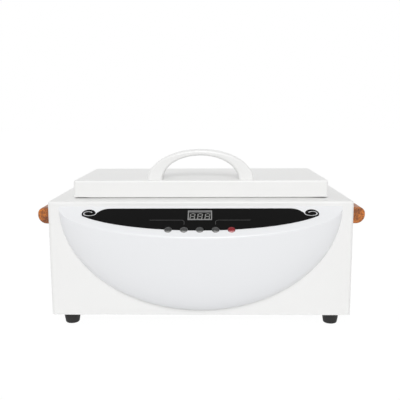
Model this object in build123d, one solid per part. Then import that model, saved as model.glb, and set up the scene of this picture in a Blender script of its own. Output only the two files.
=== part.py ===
"""Bench-top dry-heat utensil sterilizer: a sheet-steel case with a hinged lid over a heated tank.

Millimetres, +Z up, +X to the right seen from the front, +Y to the back.
While it is drawn, z = 0 is the table and y = 0 is the flat front of the casing.
At the end everything is shifted along Y, so that the origin is the middle of the footprint.
"""
from build123d import *
import os
from math import cos, exp, radians, sin, sqrt, tan

# ---- casing: one-millimetre sheet steel ----
body_width = 330.0
body_depth = 182.0
body_height = 127.0
sheet = 1.0
body_corner = 4.0            # upright edges
body_edge = 2.5              # edges round the top
bottom_lip = 10.0            # inward fold that the base plate is screwed to
base_inset = 4.0             # base plate, in from the sides of the casing
base_screw_in = 7.0          # casing's side to the base screws
base_screw_side = (0.3, 0.7)         # places along the depth
base_screw_rear = (-0.25, 0.25)      # places along the width
vent_width = 4.0
vent_length = 70.0
vent_corner = 1.9
vent_pitch = 10.0
vent_count = 6               # slots at each side of the power board
vent_from_middle = 105.0
wiring_slot = (44.0, 14.0)
wiring_drop = 34.0           # deck's back line to the slot for the leads

# ---- feet ----
foot_height = 12.0
foot_top_d = 19.0
foot_bottom_d = 15.0
foot_edge = 1.8
foot_side_inset = 19.5
foot_end_inset = 14.5
foot_recess_d = 9.0
foot_recess = 5.0
foot_nut_height = 3.0
nut_r = 3.9                  # M4 nut, to its corners

# ---- lid ----
lid_side_margin = 23.5       # casing top left showing at each side of the lid
lid_front_margin = 23.4
lid_rear_margin = 24.6
lid_height = 18.6
lid_gap = 1.2                # shadow line between lid and casing
lid_corner = 3.5
lid_edge = 2.0
liner_flange = 12.0

# ---- lid handle: a flat bow ----
handle_outer_span = 118.8
handle_inner_span = 85.0
handle_outer_rise = 33.2
handle_inner_rise = 26.9
handle_depth = 20.0
handle_front = 6.0           # lid's front face to the handle's
handle_round = 2.6
handle_screw_pitch = 100.0
handle_screw_length = 12.0

# ---- tank, seal and basket ----
tank_sheet = 0.8
tank_flange = 7.0
tank_depth = 66.0
tank_corner = 18.0
tank_floor_round = 6.0
seal_width = 5.0
seal_height = 3.0
basket_clearance = 4.0
basket_height = 46.0
basket_sheet = 0.8
basket_corner = 14.0
basket_slot_width = 5.0
basket_slot_pitch = 14.0
basket_bail_wire = 3.0
basket_bail_width = 46.0
basket_bail_rise = 13.0
basket_bail_drop = 16.0      # rim down to the ends of the wire
basket_bail_round = 8.0
basket_slot_lift = 2.0       # side slots, above the middle of the basket's height
seal_round = 1.25

# ---- heating ----
insulation = 10.0
insulation_floor = 8.0
heater_zone = 11.0           # space under the tank floor
heater_tube_d = 6.5
heater_leg_pitch = 56.0
heater_end_margin = 34.0     # bend of the element to the end of the tank
heater_tail = 8.0            # sheath left outside the insulation
heater_pin_r = 1.2
heater_pin_length = 7.0
heater_pin_out = 2.5         # end of the sheath to the middle of the pin
clamp_width = 10.0
clamp_sheet = 1.6
clamp_pitch = 110.0
clamp_stud_r = 2.0
clamp_nut_height = 1.8
cutout_d = 15.8
cutout_height = 6.0
cutout_round = 1.0
cutout_tab = (1.0, 5.0, 5.0)
cutout_tab_pitch = 7.0
cutout_room = 10.0           # opening in the blanket, over the thermostat's width
probe_d = 4.0
probe_length = 26.0
probe_round = 1.5
probe_tab = (1.0, 9.0, 8.0)
probe_room = 6.0
sensor_spread = 22.0         # middle of the tank's end to the thermostat, and to the probe

# ---- front cover: a moulded bowl-shaped hull under a sloping deck ----
hull_side_margin = 12.5
hull_bottom_margin = 6.5
hull_reach = 38.1            # how far the bowl would stand out at the deck's back line
deck_drop = 5.5              # casing top down to the deck's back line
deck_slope = 35.0            # degrees below level, falling to the front
deck_round = 3.0
cover_wall = 2.4
cover_boss_d = 7.0
cover_boss_high = (118.0, 30.0)      # from the middle, and below the deck's back line
cover_boss_low = (62.0, 84.0)
cover_screw_length = 9.0

# ---- black overlay on the deck, a crescent with a scroll at each tip ----
overlay_thickness = 0.5
overlay_side_margin = 12.5   # hull's half width to that of the lower edge's ellipse
overlay_front_margin = 9.8   # deck's front edge to the overlay's
overlay_lower_shift = 3.0    # centre of the lower ellipse, behind the deck's back line
overlay_top = 3.6            # deck's back line to the straight top edge
scroll_inset = 21.7          # end of the lower ellipse to the scroll's centre
scroll_drop = 10.5           # deck's back line to the scroll's centre
scroll_top = 5.2             # deck's back line to the top of the scroll
scroll_half_width = 7.4
scroll_groove = 1.2
groove_start = 7.9           # half width of the groove's spiral where it enters
groove_shrink = 0.12         # rate at which the spiral winds in
groove_aspect = 0.55         # height of the spiral over its width
groove_from = -25.0          # degrees of turn, from the left end of its width
groove_to = 335.0
groove_steps = 8
shoulder = ((26.0, 0.0), (13.5, 2.4), (7.3, 7.6), (0.0, 11.3))   # in from the scroll, below the top
shoulder_end = (1.0, -0.15)          # direction in which the shoulder meets the scroll

# ---- display, buttons and boards ----
display_width = 25.6         # of the frame round it
display_length = 13.6
display_back = 7.6           # deck's back line to the frame's upper side
display_height = 7.0
display_rim = 1.1
display_frame_flange = 0.7
display_step = 0.6           # frame's flange beyond its neck
display_recess = 0.9         # deck's surface down to the display's face
digit_pitch = 7.9
digit_width = 5.6
digit_height = 9.2
digit_slant = 6.5            # degrees
segment_width = 1.1
segment_gap = 0.25
segment_height = 0.2
button_d = 7.4
button_count = 5
button_pitch = 16.4
button_setback = 1.0         # overlay's front edge to the line of buttons
button_proud = 0.5
button_dome = 0.8
button_curve = (0.62, 0.72)          # a point on the dome, over its radius and its height
button_flange = 1.1
button_flange_height = 1.0
button_stem_d = 3.2
button_travel = 0.8
switch_size = 6.0
switch_height = 3.0
board_thickness = 1.6
board_width = 108.0
board_front = 41.0           # deck's back line to the control board's lower edge
board_back = 7.4
post_d = 6.0
post_inset = 5.0
board_hole = 9.0             # length of the holes for the board's screws
board_screw_bite = 4.0       # length of those screws in the posts
power_board_width = 120.0
power_board_length = 62.0
power_board_front = 44.0
standoff_height = 7.0
standoff_d = 6.0
standoff_inset = 6.0
transformer_x = -30.0
transformer_core = (34.0, 12.0, 24.0)
transformer_coil = (24.0, 26.0, 18.0)
transformer_lift = 3.0
relay_place = (8.0, -12.0)
relay_size = (19.0, 15.5, 15.5)
relay_corner = 0.8
terminal_place = (34.0, 20.0)
terminal_size = (30.0, 10.0, 12.0)
terminal_pitch = 9.5
terminal_well_r = 2.4
terminal_well_depth = 3.0
terminal_mouth = (5.0, 8.0, 4.0)

# ---- hinges ----
hinge_spread = 176.0
hinge_width = 40.0
hinge_leaf = 1.2
hinge_leaf_length = 18.0
knuckle_r = 3.2
pin_r = 1.5
knuckle_count = 5
lid_open_angle = 100.0
hinge_screw_share = 0.3      # hinge's middle to its screws, over its width
leaf_screw_share = 0.6       # axis to the screws in the body's leaf, over the leaf's length
finger_lap = 0.5             # knuckle's finger into its leaf
pin_overhang = 1.0
pin_head_r = 2.2
pin_head_length = 1.2

# ---- wooden side grips ----
grip_length = 110.0
grip_height = 18.8
grip_reach = 21.4
grip_top = 12.6              # casing top down to the grip's top
grip_top_round = 7.5
grip_bottom_round = 10.0
grip_end_round = 1.5
grip_screw_pitch = 70.0
grip_screw_length = 14.0

# ---- power inlet, a three-pin appliance socket ----
inlet_from_side = 55.0
inlet_above_base = 32.0
inlet_width = 27.0
inlet_height = 19.6
inlet_flange_width = 50.0
inlet_flange_height = 23.0
inlet_flange_thickness = 3.0
inlet_depth = 17.0
inlet_wall = 1.4
inlet_mouth = 5.5            # mouth to the tips of the pins
inlet_pin_pitch = 14.0
inlet_screw_pitch = 40.0
inlet_corner = 4.0
inlet_pin = (2.0, 4.0)       # thickness and width of a blade
inlet_pin_lift = 2.0         # middle blade above the line, the others below it
inlet_pin_tail = 7.0
inlet_screw_length = 10.0

# ---- screws ----
base_screw_d = 3.0
base_screw_length = 6.0
cover_screw_d = 3.0
inlet_screw_d = 3.0
board_screw_d = 2.5
foot_screw_d = 4.0
handle_screw_d = 4.0
grip_screw_d = 4.0
hinge_screw_d = 2.5
hinge_screw_length = 6.0
head_m25 = (4.6, 1.7)        # width and height of the pan heads
head_m3 = (5.6, 2.0)
head_m4 = (7.6, 2.6)
head_sunk = (4.8, 1.1)
pan_top = 0.7                # a pan head's flat top, over its width
pan_side = 0.45              # its straight side, over its height
pad_well_r = 5.0             # room in the lid's pad round the handle's screws
pad_well_depth = 5.0
pad_hole_r = 2.2             # and round the hinges'
pad_hole_depth = 6.0

# ---- fits ----
seat = 0.2                   # between two fixed pieces that only rest together
clear = 0.3                  # between pieces that move past each other
bore_fit = 0.05              # running fit of the hinge pins, on the radius
screw_fit = 0.05             # screws in their holes, on the radius

# ---- levels and places worked out from the sizes above ----
base_top = foot_height + sheet
casing_top = base_top + body_height
half_width = body_width / 2
middle_y = body_depth / 2

lid_width = body_width - 2 * lid_side_margin
lid_depth = body_depth - lid_front_margin - lid_rear_margin
lid_y = lid_front_margin + lid_depth / 2
lid_back = lid_front_margin + lid_depth
lid_bottom = casing_top + lid_gap
lid_top = lid_bottom + lid_height

skirt_gap = 1.7
tank_length = lid_width - 2 * (sheet + skirt_gap + tank_flange + tank_sheet)
tank_width = lid_depth - 2 * (sheet + skirt_gap + tank_flange + tank_sheet)
tank_floor = casing_top - tank_depth
tank_under = tank_floor - tank_sheet
flange_top = casing_top + tank_sheet
liner_bottom = flange_top + clear + seal_height
insulation_top = casing_top - sheet - seat
insulation_inner_bottom = tank_under - heater_zone

hull_a = half_width - hull_side_margin
hull_b = body_height - deck_drop - hull_bottom_margin
deck_z = casing_top - deck_drop
slope = radians(deck_slope)
deck_run = 1 / sqrt((cos(slope) / hull_reach) ** 2 + (sin(slope) / hull_b) ** 2)
deck_plane = Plane(origin=(0, 0, deck_z), x_dir=(1, 0, 0), z_dir=(0, -sin(slope), cos(slope)))

overlay_a = hull_a - overlay_side_margin
overlay_front = deck_run - overlay_front_margin
overlay_b = overlay_front + overlay_lower_shift
scroll_x = overlay_a - scroll_inset
button_line = overlay_front - button_setback
board_depth = display_recess + display_height        # deck's surface down to the control board

axis_y = lid_back + knuckle_r + clear
axis_z = casing_top + knuckle_r + clear
hinge_places = (-hinge_spread / 2, hinge_spread / 2)


# ---------------------------------------------------------------- helpers
def rounded_box(width, depth, height, corner, x=0.0, y=0.0, z=0.0):
    """Upright box with rounded corners in plan: middle at (x, y), bottom at z."""
    return Pos(x, y, z) * extrude(RectangleRounded(width, depth, corner), height)


def block(width, depth, height, x=0.0, y=0.0, z=0.0):
    """Plain box: middle at (x, y), bottom at z."""
    return Pos(x, y, z) * Box(width, depth, height, align=(Align.CENTER, Align.CENTER, Align.MIN))


def top_edges(solid):
    return solid.edges().group_by(Axis.Z)[-1]


def screw(shank_d, length, head, sunk=False, grow=0.0):
    """Screw pointing down -Z. A pan head sits above z = 0, a countersunk one below it."""
    shank_r = shank_d / 2 + grow
    head_r = head[0] / 2 + grow
    head_height = head[1]
    if sunk:
        outline = Polyline((0, 0), (head_r, 0), (shank_r, -head_height), (shank_r, -length), (0, -length),
                           close=True)
    else:
        outline = Polyline((0, head_height), (head_r * pan_top, head_height),
                           (head_r, head_height * pan_side), (head_r, 0), (shank_r, 0),
                           (shank_r, -length), (0, -length), close=True)
    return revolve(Plane.XZ * make_face(outline), Axis.Z)


def hole(radius, length, where):
    """Cylinder to cut with, centred on the frame given."""
    return where * Cylinder(radius, length)


def group(shapes):
    """Several separate solids kept under one name."""
    return Compound([solid for shape in shapes for solid in shape.solids()])


def on_deck(x, down, depth=0.0):
    """Frame on the deck: x across, down the slope, depth under its surface."""
    return deck_plane * Location((x, -down, -depth))


# ---------------------------------------------------------------- casing
base_screw_spots = [(side * (half_width - base_screw_in), body_depth * share)
                    for side in (-1, 1) for share in base_screw_side]
base_screw_spots += [(body_width * share, body_depth - base_screw_in) for share in base_screw_rear]
foot_spots = [(x, y) for x in (-half_width + foot_side_inset, half_width - foot_side_inset)
              for y in (foot_end_inset, body_depth - foot_end_inset)]
cover_boss_spots = [(side * x, deck_z - drop) for side in (-1, 1)
                    for x, drop in (cover_boss_high, cover_boss_low)]
inlet_x = half_width - inlet_from_side
inlet_z = base_top + inlet_above_base
grip_z = casing_top - grip_top - grip_height / 2
wiring_slot_z = deck_z - wiring_drop


def outer_casing():
    outer = rounded_box(body_width, body_depth, body_height, body_corner, y=middle_y, z=base_top)
    outer = fillet(top_edges(outer), body_edge)
    inner = rounded_box(body_width - 2 * sheet, body_depth - 2 * sheet, body_height - 2 * sheet,
                        body_corner - sheet, y=middle_y, z=base_top + sheet)
    inner = fillet(top_edges(inner), body_edge - sheet)
    casing = outer - inner
    casing -= rounded_box(body_width - 2 * bottom_lip, body_depth - 2 * bottom_lip, 4 * sheet, body_corner,
                          y=middle_y, z=base_top - sheet)
    well = 2 * (tank_sheet + seat)
    casing -= rounded_box(tank_length + well, tank_width + well, 4 * sheet,
                          tank_corner + tank_sheet + seat, y=lid_y, z=casing_top - 2 * sheet)
    for x, z in cover_boss_spots:
        casing -= hole(cover_screw_d / 2 + screw_fit, 4 * sheet, Pos(x, 0, z) * Rot(90, 0, 0))
    casing -= Pos(0, 0, wiring_slot_z) * Box(wiring_slot[0], 4 * sheet, wiring_slot[1])
    casing -= Pos(inlet_x, body_depth, inlet_z) * Box(inlet_width + 2 * seat, 4 * sheet,
                                                      inlet_height + 2 * seat)
    for side in (-1, 1):
        casing -= hole(inlet_screw_d / 2 + screw_fit, 4 * sheet,
                       Pos(inlet_x + side * inlet_screw_pitch / 2, body_depth, inlet_z) * Rot(90, 0, 0))
        for y in grip_screw_places():
            casing -= hole(grip_screw_d / 2 + screw_fit, 4 * sheet,
                           Pos(side * half_width, y, grip_z) * Rot(0, 90, 0))
    for x, y in base_screw_spots:
        casing -= hole(base_screw_d / 2 + screw_fit, 4 * sheet, Pos(x, y, base_top))
    for x, y in body_hinge_screws():
        casing -= hole(hinge_screw_d / 2 + screw_fit, 4 * sheet, Pos(x, y, casing_top))
    return casing


def base_plate():
    plate = rounded_box(body_width - 2 * base_inset, body_depth - 2 * base_inset, sheet, body_corner,
                        y=middle_y, z=foot_height)
    for x, y in base_screw_spots:
        plate -= hole(base_screw_d / 2 + screw_fit, 4 * sheet, Pos(x, y, foot_height))
    for x, y in foot_spots:
        plate -= hole(foot_screw_d / 2 + screw_fit, 4 * sheet, Pos(x, y, foot_height))
    for x, y in power_board_holes():
        plate -= hole(board_screw_d / 2 + screw_fit, 4 * sheet, Pos(x, y, foot_height))
    for side in (-1, 1):
        for i in range(vent_count):
            x = side * vent_from_middle + (i - (vent_count - 1) / 2) * vent_pitch
            plate -= rounded_box(vent_width, vent_length, 4 * sheet, vent_corner, x, middle_y,
                                 foot_height - sheet)
    return plate


def base_screws():
    return group([Pos(x, y, foot_height) * Rot(180, 0, 0) * screw(base_screw_d, base_screw_length, head_m3)
                  for x, y in base_screw_spots])


def rubber_feet():
    profile = Polyline((0, foot_height), (foot_top_d / 2, foot_height), (foot_bottom_d / 2, 0), (0, 0),
                       close=True)
    foot = revolve(Plane.XZ * make_face(profile), Axis.Z)
    foot = fillet(foot.edges().group_by(Axis.Z)[0], foot_edge)
    foot -= Pos(0, 0, foot_recess / 2) * Cylinder(foot_recess_d / 2, foot_recess)
    foot -= Cylinder(foot_screw_d / 2 + screw_fit, 3 * foot_height)
    return group([Pos(x, y, 0) * foot for x, y in foot_spots])


def foot_screws():
    length = foot_height - foot_recess + 2 * sheet + foot_nut_height
    return group([Pos(x, y, foot_recess) * Rot(180, 0, 0) * screw(foot_screw_d, length, head_m4)
                  for x, y in foot_spots])


def foot_nuts():
    nut = extrude(RegularPolygon(nut_r, 6), foot_nut_height)
    nut -= Cylinder(foot_screw_d / 2 + screw_fit, 4 * foot_nut_height)
    return group([Pos(x, y, base_top) * nut for x, y in foot_spots])


# ---------------------------------------------------------------- power inlet
inlet_plane = Plane(origin=(inlet_x, body_depth, inlet_z), x_dir=(-1, 0, 0), z_dir=(0, 1, 0))


def inlet_outline(width, height, corner):
    """Socket outline: a rectangle with its two upper corners cut off."""
    left, low = -width / 2, -height / 2
    return make_face(Polyline((left, low), (-left, low), (-left, -low - corner), (-left - corner, -low),
                              (left + corner, -low), (left, -low - corner), close=True))


def power_inlet():
    flange = extrude(RectangleRounded(inlet_flange_width, inlet_flange_height, inlet_corner),
                     inlet_flange_thickness)
    body = Pos(0, 0, -inlet_depth) * extrude(Rectangle(inlet_width, inlet_height), inlet_depth)
    cavity = extrude(inlet_outline(inlet_width - 2 * inlet_wall, inlet_height - 2 * inlet_wall,
                                   inlet_corner), inlet_depth + inlet_flange_thickness)
    socket = flange + body - Pos(0, 0, -inlet_depth + inlet_wall) * cavity
    for side in (-1, 1):
        socket -= hole(inlet_screw_d / 2 + screw_fit, 4 * inlet_screw_length,
                       Pos(side * inlet_screw_pitch / 2, 0, 0))
    for x, y in inlet_pin_spots:
        socket -= Pos(x, y, -inlet_depth) * Box(inlet_pin[0] + 2 * seat, inlet_pin[1] + 2 * seat,
                                                4 * inlet_wall)
    return inlet_plane * socket


inlet_pin_spots = [(-inlet_pin_pitch / 2, -inlet_pin_lift), (0.0, inlet_pin_lift),
                   (inlet_pin_pitch / 2, -inlet_pin_lift)]


def inlet_pins():
    tip = inlet_flange_thickness - inlet_mouth
    length = inlet_depth + tip + inlet_pin_tail
    return group([inlet_plane * block(inlet_pin[0], inlet_pin[1], length, x, y, tip - length)
                  for x, y in inlet_pin_spots])


def inlet_screws():
    return group([inlet_plane * Pos(side * inlet_screw_pitch / 2, 0, inlet_flange_thickness)
                  * screw(inlet_screw_d, inlet_screw_length, head_m3) for side in (-1, 1)])


# ---------------------------------------------------------------- front cover
def hull_solid(inset, behind=0.0):
    """Quarter of an ellipsoid under the deck, inset all over and open-ended past the casing's front."""
    ball = scale(Rot(-90, 0, 0) * Sphere(1.0), by=(hull_a - inset, hull_reach - inset, hull_b - inset))
    ball = Pos(0, 0, deck_z) * ball
    keep = Pos(0, behind - body_depth / 2, 0) * Box(body_width, body_depth, 4 * body_height)
    over = deck_plane * Pos(0, 0, -inset) * Box(2 * body_width, 6 * hull_reach, 2 * body_height,
                                                align=(Align.CENTER, Align.CENTER, Align.MIN))
    return (ball & keep) - over


def front_cover():
    hull = hull_solid(0.0)
    rim = [e for e in hull.edges() if e.center().Y < -hull_reach / 4 and e.center().Z > deck_z - hull_b / 2]
    hull = fillet(rim, deck_round)
    cover = hull - hull_solid(cover_wall, behind=sheet)
    solid_under_skin = hull_solid(cover_wall / 2)
    for x, z in cover_boss_spots:
        boss = Pos(x, -hull_reach / 2, z) * Rot(90, 0, 0) * Cylinder(cover_boss_d / 2, hull_reach)
        cover += boss & solid_under_skin
    for x, down in board_post_spots:
        cover += on_deck(x, down, cover_wall / 2) * Cylinder(
            post_d / 2, board_depth - cover_wall / 2, align=(Align.CENTER, Align.CENTER, Align.MAX))
    for x, z in cover_boss_spots:
        cover -= hole(cover_screw_d / 2 + screw_fit, 2 * cover_screw_length, Pos(x, 0, z) * Rot(90, 0, 0))
    for x, down in board_post_spots:
        cover -= hole(board_screw_d / 2 + screw_fit, board_hole, on_deck(x, down, board_depth))
    cover -= display_block(2 * (seat - display_step), 3 * cover_wall, 2 * cover_wall)
    for x in button_places:
        cover -= hole(button_d / 2 + clear, 6 * cover_wall, on_deck(x, button_line))
    return cover


board_post_spots = [(side * (board_width / 2 - post_inset), down) for side in (-1, 1)
                    for down in (board_back + post_inset, board_front - post_inset)]
button_places = [(i - (button_count - 1) / 2) * button_pitch for i in range(button_count)]


def display_place(depth):
    return on_deck(0, display_back + display_length / 2, depth)


def cover_screws():
    return group([Pos(x, sheet, z) * Rot(-90, 0, 0)
                  * screw(cover_screw_d, cover_screw_length, head_m3) for x, z in cover_boss_spots])


# ---------------------------------------------------------------- overlay with its scrolls
def scroll_groove_line():
    """Spiral that winds in round the scroll's centre."""
    points = []
    for i in range(groove_steps + 1):
        turn = radians(groove_from + (groove_to - groove_from) * i / groove_steps)
        reach = groove_start * exp(-groove_shrink * turn)
        points.append((scroll_x - reach * cos(turn), -scroll_drop - groove_aspect * reach * sin(turn)))
    return Spline(*points)


def half_overlay():
    """Right half: a straight top, a drawn-in shoulder, the elliptical lower edge and the scroll."""
    lens = Pos(0, overlay_lower_shift) * Ellipse(overlay_a, overlay_b)
    band = lens & Pos(scroll_x / 2, -overlay_top - overlay_b / 2) * Rectangle(scroll_x, overlay_b)
    curve = Spline(*[(scroll_x - back, -overlay_top - down) for back, down in shoulder],
                   tangents=((1, 0), shoulder_end))
    above = Polyline(curve @ 1, (scroll_x, 0), (scroll_x - shoulder[0][0], 0), curve @ 0)
    band -= make_face([curve, above])
    low = overlay_b * sqrt(1 - (scroll_x / overlay_a) ** 2) - overlay_lower_shift
    lobe = Pos(scroll_x, -(scroll_top + low) / 2) * Ellipse(scroll_half_width, (low - scroll_top) / 2)
    return band + (lobe & lens) - trace(scroll_groove_line(), scroll_groove)


def overlay_shape():
    half = half_overlay()
    return half + mirror(half, about=Plane.YZ)


def control_overlay():
    film = deck_plane * extrude(overlay_shape(), overlay_thickness)
    film -= display_block(2 * (seat - display_step), 4 * overlay_thickness, 2 * overlay_thickness)
    for x in button_places:
        film -= hole(button_d / 2 + clear, 6 * cover_wall, on_deck(x, button_line))
    return film


# ---------------------------------------------------------------- display
def display_block(grow, height, depth):
    """Box of the frame's size plus grow, standing on a level that lies depth under the deck."""
    return display_place(depth) * block(display_width + grow, display_length + grow, height)


def display_frame():
    flange = display_block(0, display_frame_flange, -overlay_thickness)
    neck = display_block(-2 * display_step, cover_wall + overlay_thickness, cover_wall)
    opening = display_block(-2 * display_rim, 4 * cover_wall, 2 * cover_wall)
    return flange + neck - opening


def display_module():
    """Case that stands on the board, with a narrower face inside the frame."""
    case = display_block(0, board_depth - cover_wall - seat, board_depth)
    face = display_block(-2 * (display_rim + seat), board_depth - display_recess, board_depth)
    return case + face


def slanted_bar(x, y, width, height):
    """Flat-ended bar with its middle at (x, y), leaning like the whole figure."""
    lean = tan(radians(digit_slant))
    corners = [(x - width / 2, y - height / 2), (x + width / 2, y - height / 2),
               (x + width / 2, y + height / 2), (x - width / 2, y + height / 2)]
    return make_face(Polyline(*[(px + lean * py, py) for px, py in corners], close=True))


def segment_bars(x0):
    """Seven bars of one figure, each between two of the figure's corners."""
    across = digit_width - segment_width
    up = (digit_height - segment_width) / 2
    bars = []
    for row in (-1, 0, 1):
        bars.append(slanted_bar(x0, row * up, across - segment_width - 2 * segment_gap, segment_width))
    for side in (-1, 1):
        for row in (-1, 1):
            bars.append(slanted_bar(x0 + side * across / 2, row * up / 2, segment_width,
                                    up - 2 * segment_gap))
    return bars


def display_segments():
    solids = []
    for i in (-1, 0, 1):
        for bar in segment_bars(i * digit_pitch):
            solids.append(display_place(display_recess) * extrude(bar, segment_height))
    return group(solids)


# ---------------------------------------------------------------- buttons and control board
def button(x):
    """Domed cap with a retaining flange under the deck and a stem down to its switch."""
    stem_end = board_depth - switch_height + clear
    flange_top = cover_wall + clear
    cap_r = button_d / 2
    rim_r = cap_r + button_flange
    stem_r = button_stem_d / 2
    proud = button_proud
    bulge = (cap_r * button_curve[0], proud + button_dome * button_curve[1])
    outline = [ThreePointArc((0, proud + button_dome), bulge, (cap_r, proud)),
               Polyline((cap_r, proud), (cap_r, -flange_top), (rim_r, -flange_top),
                        (rim_r, -flange_top - button_flange_height),
                        (stem_r, -flange_top - button_flange_height), (stem_r, -stem_end), (0, -stem_end),
                        (0, proud + button_dome))]
    cap = revolve(Plane.XZ * make_face(outline), Axis.Z)
    return on_deck(x, button_line) * cap


def control_board():
    middle = (board_back + board_front) / 2
    board = on_deck(0, middle, board_depth + board_thickness) * block(
        board_width, board_front - board_back, board_thickness)
    for x, down in board_post_spots:
        board -= hole(board_screw_d / 2 + screw_fit, board_hole, on_deck(x, down, board_depth))
    return board


def push_switches():
    mouth = clear + button_travel + clear
    switch = block(switch_size, switch_size, switch_height)
    switch -= Pos(0, 0, switch_height) * Cylinder(button_stem_d / 2 + clear, 2 * mouth)
    return group([on_deck(x, button_line, board_depth) * switch for x in button_places])


def control_board_screws():
    return group([on_deck(x, down, board_depth + board_thickness) * Rot(180, 0, 0)
                  * screw(board_screw_d, board_thickness + board_screw_bite, head_m25)
                  for x, down in board_post_spots])


# ---------------------------------------------------------------- power board
power_board_z = base_top + standoff_height
power_board_y = power_board_front + power_board_length / 2
power_board_top = power_board_z + board_thickness


def power_board_holes():
    x = power_board_width / 2 - standoff_inset
    y = power_board_length / 2 - standoff_inset
    return [(sx * x, power_board_y + sy * y) for sx in (-1, 1) for sy in (-1, 1)]


def power_board():
    board = block(power_board_width, power_board_length, board_thickness, y=power_board_y, z=power_board_z)
    for x, y in power_board_holes():
        board -= hole(board_screw_d / 2 + screw_fit, board_hole, Pos(x, y, power_board_z))
    return board


def power_board_standoffs():
    post = Cylinder(standoff_d / 2, standoff_height, align=(Align.CENTER, Align.CENTER, Align.MIN))
    post -= Cylinder(board_screw_d / 2 + screw_fit, 4 * standoff_height)
    return group([Pos(x, y, base_top) * post for x, y in power_board_holes()])


def power_board_screws():
    length = power_board_top - foot_height + seat
    return group([Pos(x, y, foot_height) * Rot(180, 0, 0) * screw(board_screw_d, length, head_m25)
                  for x, y in power_board_holes()])


def transformer():
    core = block(*transformer_core)
    coil = block(*transformer_coil, z=transformer_lift)
    return Pos(transformer_x, power_board_y, power_board_top) * (core + coil)


def relay():
    case = block(*relay_size)
    case = fillet(case.edges().filter_by(Axis.Z), relay_corner)
    return Pos(relay_place[0], power_board_y + relay_place[1], power_board_top) * case


def terminal_block():
    width, depth, height = terminal_size
    strip = block(width, depth, height)
    for i in (-1, 0, 1):
        strip -= Pos(i * terminal_pitch, 0, height) * Cylinder(terminal_well_r, 2 * terminal_well_depth)
        strip -= Pos(i * terminal_pitch, depth / 2, height / 3) * Box(*terminal_mouth)
    return Pos(terminal_place[0], power_board_y + terminal_place[1], power_board_top) * strip


# ---------------------------------------------------------------- tank
def tank():
    """Deep-drawn pan, its flange welded down round the opening in the casing."""
    length, width = tank_length + 2 * tank_sheet, tank_width + 2 * tank_sheet
    outer = rounded_box(length, width, tank_depth + tank_sheet, tank_corner + tank_sheet, y=lid_y,
                        z=tank_under)
    outer = fillet(outer.edges().group_by(Axis.Z)[0], tank_floor_round + tank_sheet)
    flange = rounded_box(length + 2 * tank_flange, width + 2 * tank_flange, tank_sheet,
                         tank_corner + tank_sheet, y=lid_y, z=casing_top)
    inner = rounded_box(tank_length, tank_width, tank_depth + 4 * tank_sheet, tank_corner, y=lid_y,
                        z=tank_floor)
    inner = fillet(inner.edges().group_by(Axis.Z)[0], tank_floor_round)
    return outer + flange - inner


def tank_insulation():
    length = tank_length + 2 * tank_sheet
    width = tank_width + 2 * tank_sheet
    depth = insulation_top - insulation_inner_bottom
    outer = rounded_box(length + 2 * insulation, width + 2 * insulation, depth + insulation_floor,
                        tank_corner + insulation, y=lid_y, z=insulation_inner_bottom - insulation_floor)
    inner = rounded_box(length + 2 * seat, width + 2 * seat, 2 * depth, tank_corner + tank_sheet + seat,
                        y=lid_y, z=insulation_inner_bottom)
    blanket = outer - inner
    for side in (-1, 1):
        blanket -= hole(heater_tube_d / 2 + seat, 3 * insulation,
                        Pos(length / 2 + insulation, lid_y + side * heater_leg_pitch / 2, heater_z)
                        * Rot(0, 90, 0))
    room = cutout_d + cutout_room
    for y, size in ((cutout_y, room), (probe_y, probe_length + probe_room)):
        blanket -= Pos(-length / 2 - insulation / 2, y, sensor_z) * Box(2 * insulation, room, size)
    return blanket


heater_z = tank_under - seat - heater_tube_d / 2
cutout_y = lid_y - sensor_spread
probe_y = lid_y + sensor_spread
sensor_z = tank_floor + tank_depth / 2
tank_end = tank_length / 2 + tank_sheet


def heater_element():
    """Sheathed element: two long legs joined by a half turn, with tails out through the blanket."""
    radius = heater_leg_pitch / 2
    bend_x = -(tank_length / 2 - heater_end_margin) + radius
    end_x = tank_end + insulation + heater_tail
    path = Line((end_x, radius), (bend_x, radius)) + ThreePointArc(
        (bend_x, radius), (bend_x - radius, 0), (bend_x, -radius)) + Line((bend_x, -radius),
                                                                         (end_x, -radius))
    start = Plane(origin=(end_x, radius, 0), x_dir=(0, 1, 0), z_dir=(-1, 0, 0))
    tube = sweep(start * Circle(heater_tube_d / 2), path=path)
    for side in (-1, 1):
        tube += (Pos(end_x + heater_pin_out, side * radius, 0) * Rot(0, 90, 0)
                 * Cylinder(heater_pin_r, heater_pin_length))
    return Pos(0, lid_y, heater_z) * tube


clamp_top = heater_z - heater_tube_d / 2 - seat


def heater_clamps():
    bar = block(clamp_width, heater_leg_pitch + 2 * clamp_width, clamp_sheet, z=clamp_top - clamp_sheet)
    bar -= hole(clamp_stud_r + screw_fit, 4 * clamp_sheet, Pos(0, 0, clamp_top))
    return group([Pos(x, lid_y, 0) * bar for x in (-clamp_pitch / 2, clamp_pitch / 2)])


def clamp_studs():
    top = tank_under - seat
    stud = Pos(0, 0, top) * Cylinder(clamp_stud_r, top - clamp_top + clamp_sheet,
                                     align=(Align.CENTER, Align.CENTER, Align.MAX))
    nut = extrude(RegularPolygon(nut_r, 6), clamp_nut_height)
    nut = Pos(0, 0, clamp_top - clamp_sheet - clamp_nut_height) * nut
    return group([Pos(x, lid_y, 0) * (stud + nut) for x in (-clamp_pitch / 2, clamp_pitch / 2)])


def thermal_cutout():
    where = Pos(-tank_end - seat, cutout_y, sensor_z) * Rot(0, -90, 0)
    width, depth, height = cutout_tab
    disc = Cylinder(cutout_d / 2, cutout_height, align=(Align.CENTER, Align.CENTER, Align.MIN))
    disc = fillet(top_edges(disc), cutout_round)
    for side in (-1, 1):
        disc += block(width, depth, height, x=side * cutout_tab_pitch / 2, z=cutout_height - width)
    return where * disc


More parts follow.
